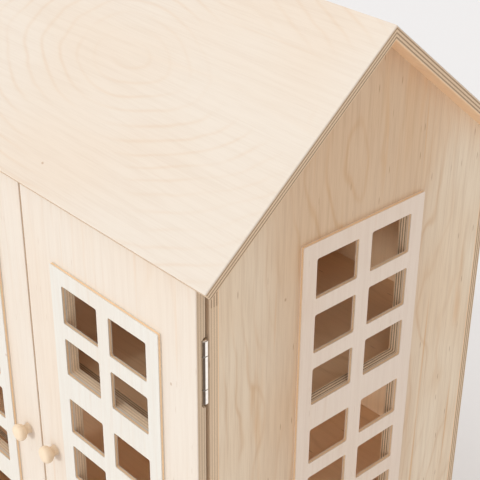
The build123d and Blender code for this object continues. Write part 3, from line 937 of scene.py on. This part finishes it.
class DOLLHOUSE_OT_screws(DollhouseOperator):
    """Make the hinge screws and the knob screws, and give the base screws their zinc finish."""

    bl_idname = "dollhouse.screws"
    bl_label = "Screws"

    def execute(self, context):
        size = sizes()
        zinc = plated("Zinc plate", finish().zinc, 0.26, 0.16)
        frame_screws = leaf_screws(STILE_FACE - size.leaf_thick, 1)
        add_piece("frame_hinge_screws_plated", joined(on_sides(frame_screws, SIDES.values())), zinc,
                  ["frame_hinge_screws"])
        for name, side in SIDES.items():
            door_screws = on_sides(leaf_screws(DOOR_BACK, -1), [side])
            add_piece(name + "_door_hinge_screws_plated", joined(door_screws), zinc,
                      [name + "_door_hinge_screws"])
            low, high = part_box(name + "_door_knob_screw")
            x, z = (low.x + high.x) / 2, (low.z + high.z) / 2
            knob_screw = screw_at((x, high.y, z), (x, low.y, z), size.knob_screw_head,
                                  size.knob_screw_shank)
            add_piece(name + "_door_knob_screw_plated", joined([knob_screw]), zinc,
                      [name + "_door_knob_screw"])
        finished(frame["nodes"]["base_screws"], zinc)
        return {"FINISHED"}


# Waisted neck, round head and flat crown, as shares of the knob's radius and length
KNOB_PROFILE = ((0, 0), (0.64, 0), (0.585, 0.06), (0.53, 0.165), (0.57, 0.27), (0.66, 0.345), (0.85, 0.45),
                (0.96, 0.56), (1.0, 0.68), (0.96, 0.82), (0.84, 0.92), (0.62, 0.98), (0.35, 1.0), (0, 1.0))
KNOB_STEPS = 48


class DOLLHOUSE_OT_knobs(DollhouseOperator):
    """Turn the two door knobs."""

    bl_idname = "dollhouse.knobs"
    bl_label = "Knobs"

    def execute(self, context):
        for name, side in SIDES.items():
            node = name + "_door_knob"
            low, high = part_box(node)
            middle = (low + high) / 2
            radius = (high.x - low.x) / 2
            long = high.y - low.y
            wood = plywood("Turned birch " + name, finish().turned_birch, ALONG_Y, ALONG_X, UP, -1.0,
                           thick=10.0, plies=1, heart=(0, middle.x, 0), oval=9.0, ring_gap=0.0022,
                           wander=0.002, rings=0.5, flecks=0.4, seed=50.0 + side)
            profile = [(radius * out, long * up) for out, up in KNOB_PROFILE]
            shape = bmesh.new()
            turned(shape, profile, KNOB_STEPS)
            stand = Matrix.Translation((middle.x, high.y, middle.z)) @ Matrix.Rotation(pi / 2, 4, "X")
            add_piece(node + "_turned", joined([(shape, stand)]), wood, [node])
        return {"FINISHED"}


def disc(node, ease):
    """A round disc on Y that fills its node's box, with eased rims."""
    low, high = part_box(node)
    middle = (low + high) / 2
    shape = bmesh.new()
    radius = (high.z - low.z) / 2
    turn = Matrix.Translation(middle) @ Matrix.Rotation(pi / 2, 4, "X")
    bmesh.ops.create_cone(shape, cap_ends=True, segments=BARREL_STEPS, radius1=radius, radius2=radius,
                          depth=high.y - low.y, matrix=turn)
    bevelled(shape, sharp_edges(shape), ease)
    return shape


class DOLLHOUSE_OT_catches(DollhouseOperator):
    """Make the strikes on the doors and finish the magnets in the header."""

    bl_idname = "dollhouse.catches"
    bl_label = "Magnetic catches"

    def execute(self, context):
        ease = 2 * sizes().metal_ease
        steel = plated("Strike steel", finish().zinc, 0.22, 0.12)
        for name in SIDES:
            node = name + "_door_strike"
            add_piece(node + "_plated", disc(node, ease), steel, [node])
        finished(frame["nodes"]["header_magnets"], plated("Magnet nickel", finish().nickel, 0.12, 0.06))
        return {"FINISHED"}


class DOLLHOUSE_OT_dowels(DollhouseOperator):
    """Finish the dowels."""

    bl_idname = "dollhouse.dowels"
    bl_label = "Dowels"

    def execute(self, context):
        beech = plywood("Beech", finish().beech, ALONG_Y, ALONG_X, UP, -1.0, thick=10.0, plies=1,
                        oval=9.0, ring_gap=0.002)
        for name in ("front_frame_dowels", "rear_wall_dowels", "roof_dowels"):
            finished(frame["nodes"][name], beech)
        return {"FINISHED"}


class DOLLHOUSE_OT_stage(DollhouseOperator):
    """Lay the floor, hang the lights and set the camera."""

    bl_idname = "dollhouse.stage"
    bl_label = "Floor, lights and camera"

    def execute(self, context):
        lay_floor()
        hang_lights()
        set_camera()
        context.scene.view_settings.view_transform = "Standard"
        return {"FINISHED"}


FLOOR_HALF = 60.0
FLOOR_SPOTS = (0.8, 0.8, 0.8, 1.0)
FLOOR_ROUGH = 0.7
# Painted reflections for the hinges' metal: a dark spot and a glowing bright spot on the floor, seen only by
# glossy rays
DARK_REFLECTION_SPOT = (0.76, -0.62, 0.0)
DARK_REFLECTION_COLOUR = (0.09, 0.05, 0.025, 1.0)
DARK_REFLECTION_COVER = 0.96
BRIGHT_REFLECTION_SPOT = (0.75, 0.35, 0.0)
BRIGHT_REFLECTION_COLOUR = (1.0, 1.0, 1.0, 1.0)
BRIGHT_REFLECTION_GLOW = 0.35
REFLECTION_SPOT_RADIUS = 0.38
REFLECTION_SPOT_EDGE = 0.52


def reflection_spot(tree, here, middle):
    """A round soft-edged spot of painted reflection on the floor, which shows only to glossy rays."""
    reach = put(tree, "ShaderNodeVectorMath", {0: here, 1: middle}, operation="DISTANCE").outputs["Value"]
    mirrored = put(tree, "ShaderNodeLightPath").outputs["Is Glossy Ray"]
    return calc(tree, "MULTIPLY", mirrored, ramp(tree, reach, REFLECTION_SPOT_RADIUS, REFLECTION_SPOT_EDGE, 1.0, 0.0))


def lay_floor():
    """A large pale floor, with a painted dark reflection and a painted glowing highlight for the metal to mirror,
    both seen only by glossy rays.
    """
    shape = bmesh.new()
    bmesh.ops.create_grid(shape, x_segments=1, y_segments=1, size=FLOOR_HALF)
    mesh = bpy.data.meshes.new("studio_floor")
    shape.to_mesh(mesh)
    shape.free()
    floor = bpy.data.objects.new("studio_floor", mesh)
    bpy.context.scene.collection.objects.link(floor)
    material, tree, shader = new_material("Studio floor")
    here = put(tree, "ShaderNodeTexCoord").outputs["Object"]
    mottle = ramp(tree, noise(tree, here, scale=3.0, detail=3.0), 0.3, 0.7, 0.0, 0.03)
    pale = blend(tree, mottle, rgba(finish().floor_white), FLOOR_SPOTS)
    # Painted dark reflection: for glossy rays only, the floor turns dark brown inside the dark spot
    dark_reflection_mask = calc(tree, "MULTIPLY", reflection_spot(tree, here, DARK_REFLECTION_SPOT), DARK_REFLECTION_COVER)
    feed(tree, shader.inputs["Base Color"], blend(tree, dark_reflection_mask, pale, DARK_REFLECTION_COLOUR))
    # Painted highlight: for glossy rays only, the floor glows inside the bright spot
    shader.inputs["Emission Color"].default_value = BRIGHT_REFLECTION_COLOUR
    bright_reflection_glow = calc(tree, "MULTIPLY", reflection_spot(tree, here, BRIGHT_REFLECTION_SPOT), BRIGHT_REFLECTION_GLOW)
    feed(tree, shader.inputs["Emission Strength"], bright_reflection_glow)
    shader.inputs["Roughness"].default_value = FLOOR_ROUGH
    finished(floor, material)


SKY_BRIGHTEST = (-0.25, -0.65, 0.72)
SKY_COLOUR = (1.0, 0.965, 0.93, 1.0)
SKY_DIM = 0.48
SKY_BRIGHT = 0.95
LIGHT_COLOUR = (0.88, 0.96, 1.0)
# Each light's name, the direction it comes from, its strength and its spread in degrees
LIGHTS = (("Key", (-0.40, -0.30, 0.86), 0.30, 40), ("Low key", (-0.12, -0.97, 0.20), 1.32, 12))


def hang_lights():
    """Even soft light all round, with a wide key and a lower one from the front left."""
    world = bpy.data.worlds.new("Studio")
    world.use_nodes = True
    tree = world.node_tree
    sky = tree.nodes["Background"]
    sky.inputs["Color"].default_value = SKY_COLOUR
    towards = put(tree, "ShaderNodeTexCoord").outputs["Generated"]
    facing = put(tree, "ShaderNodeVectorMath", {0: towards, 1: SKY_BRIGHTEST}, operation="DOT_PRODUCT")
    strength = ramp(tree, facing.outputs["Value"], -0.8, 0.8, SKY_DIM, SKY_BRIGHT)
    feed(tree, sky.inputs["Strength"], strength)
    bpy.context.scene.world = world
    for name, direction, strength, spread in LIGHTS:
        light = bpy.data.lights.new(name, "SUN")
        light.energy = strength
        light.angle = radians(spread)
        light.color = LIGHT_COLOUR
        lamp = bpy.data.objects.new(name, light)
        lamp.rotation_mode = "QUATERNION"
        lamp.rotation_quaternion = Vector(direction).to_track_quat("Z", "Y")
        bpy.context.scene.collection.objects.link(lamp)


CAMERA_PLACE = Vector((0.6902, -0.5726, 0.8820))
CAMERA_AZIMUTH = radians(47.31)
CAMERA_ELEVATION = radians(29.86)
CAMERA_ROLL = radians(0.50)
CAMERA_LENS = 91.98
CAMERA_SENSOR = 36.0


def set_camera():
    """A long lens over the right front corner, turned a hair about its own axis."""
    back = Vector((sin(CAMERA_AZIMUTH) * cos(CAMERA_ELEVATION),
                   -cos(CAMERA_AZIMUTH) * cos(CAMERA_ELEVATION), sin(CAMERA_ELEVATION)))
    level = Vector((cos(CAMERA_AZIMUTH), sin(CAMERA_AZIMUTH), 0))
    upright = back.cross(level)
    right = level * cos(CAMERA_ROLL) + upright * sin(CAMERA_ROLL)
    top = upright * cos(CAMERA_ROLL) - level * sin(CAMERA_ROLL)
    lens = bpy.data.cameras.new("Camera")
    lens.lens = CAMERA_LENS
    lens.sensor_width = CAMERA_SENSOR
    camera = bpy.data.objects.new("Camera", lens)
    turn = Matrix((right, top, back)).transposed().to_4x4()
    camera.matrix_world = Matrix.Translation(CAMERA_PLACE) @ turn
    bpy.context.scene.collection.objects.link(camera)
    bpy.context.scene.camera = camera


OPERATORS = (DOLLHOUSE_OT_roof, DOLLHOUSE_OT_walls, DOLLHOUSE_OT_floors, DOLLHOUSE_OT_doors,
             DOLLHOUSE_OT_window_grids, DOLLHOUSE_OT_hinges, DOLLHOUSE_OT_screws,
             DOLLHOUSE_OT_knobs, DOLLHOUSE_OT_catches, DOLLHOUSE_OT_dowels, DOLLHOUSE_OT_stage)


class DOLLHOUSE_PT_sidebar(bpy.types.Panel):
    """Lists the pieces and their settings."""

    bl_label = "Dollhouse"
    bl_idname = "DOLLHOUSE_PT_sidebar"
    bl_space_type = "VIEW_3D"
    bl_region_type = "UI"
    bl_category = "Dollhouse"

    def draw(self, context):
        for operator in OPERATORS:
            self.layout.operator(operator.bl_idname)
        for settings in (context.scene.dollhouse_finish, context.scene.dollhouse_sizes):
            box = self.layout.box()
            for name in settings.__annotations__:
                box.prop(settings, name)


CLASSES = (DollhouseFinish, DollhouseSizes, *OPERATORS, DOLLHOUSE_PT_sidebar)


def register():
    for made in CLASSES:
        bpy.utils.register_class(made)
    bpy.types.Scene.dollhouse_finish = PointerProperty(type=DollhouseFinish)
    bpy.types.Scene.dollhouse_sizes = PointerProperty(type=DollhouseSizes)


def unregister():
    del bpy.types.Scene.dollhouse_sizes
    del bpy.types.Scene.dollhouse_finish
    for made in reversed(CLASSES):
        bpy.utils.unregister_class(made)


def main():
    """Register the add-on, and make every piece."""
    register()
    for operator in OPERATORS:
        group, name = operator.bl_idname.split(".")
        getattr(getattr(bpy.ops, group), name)()


if __name__ == "__main__":
    main()
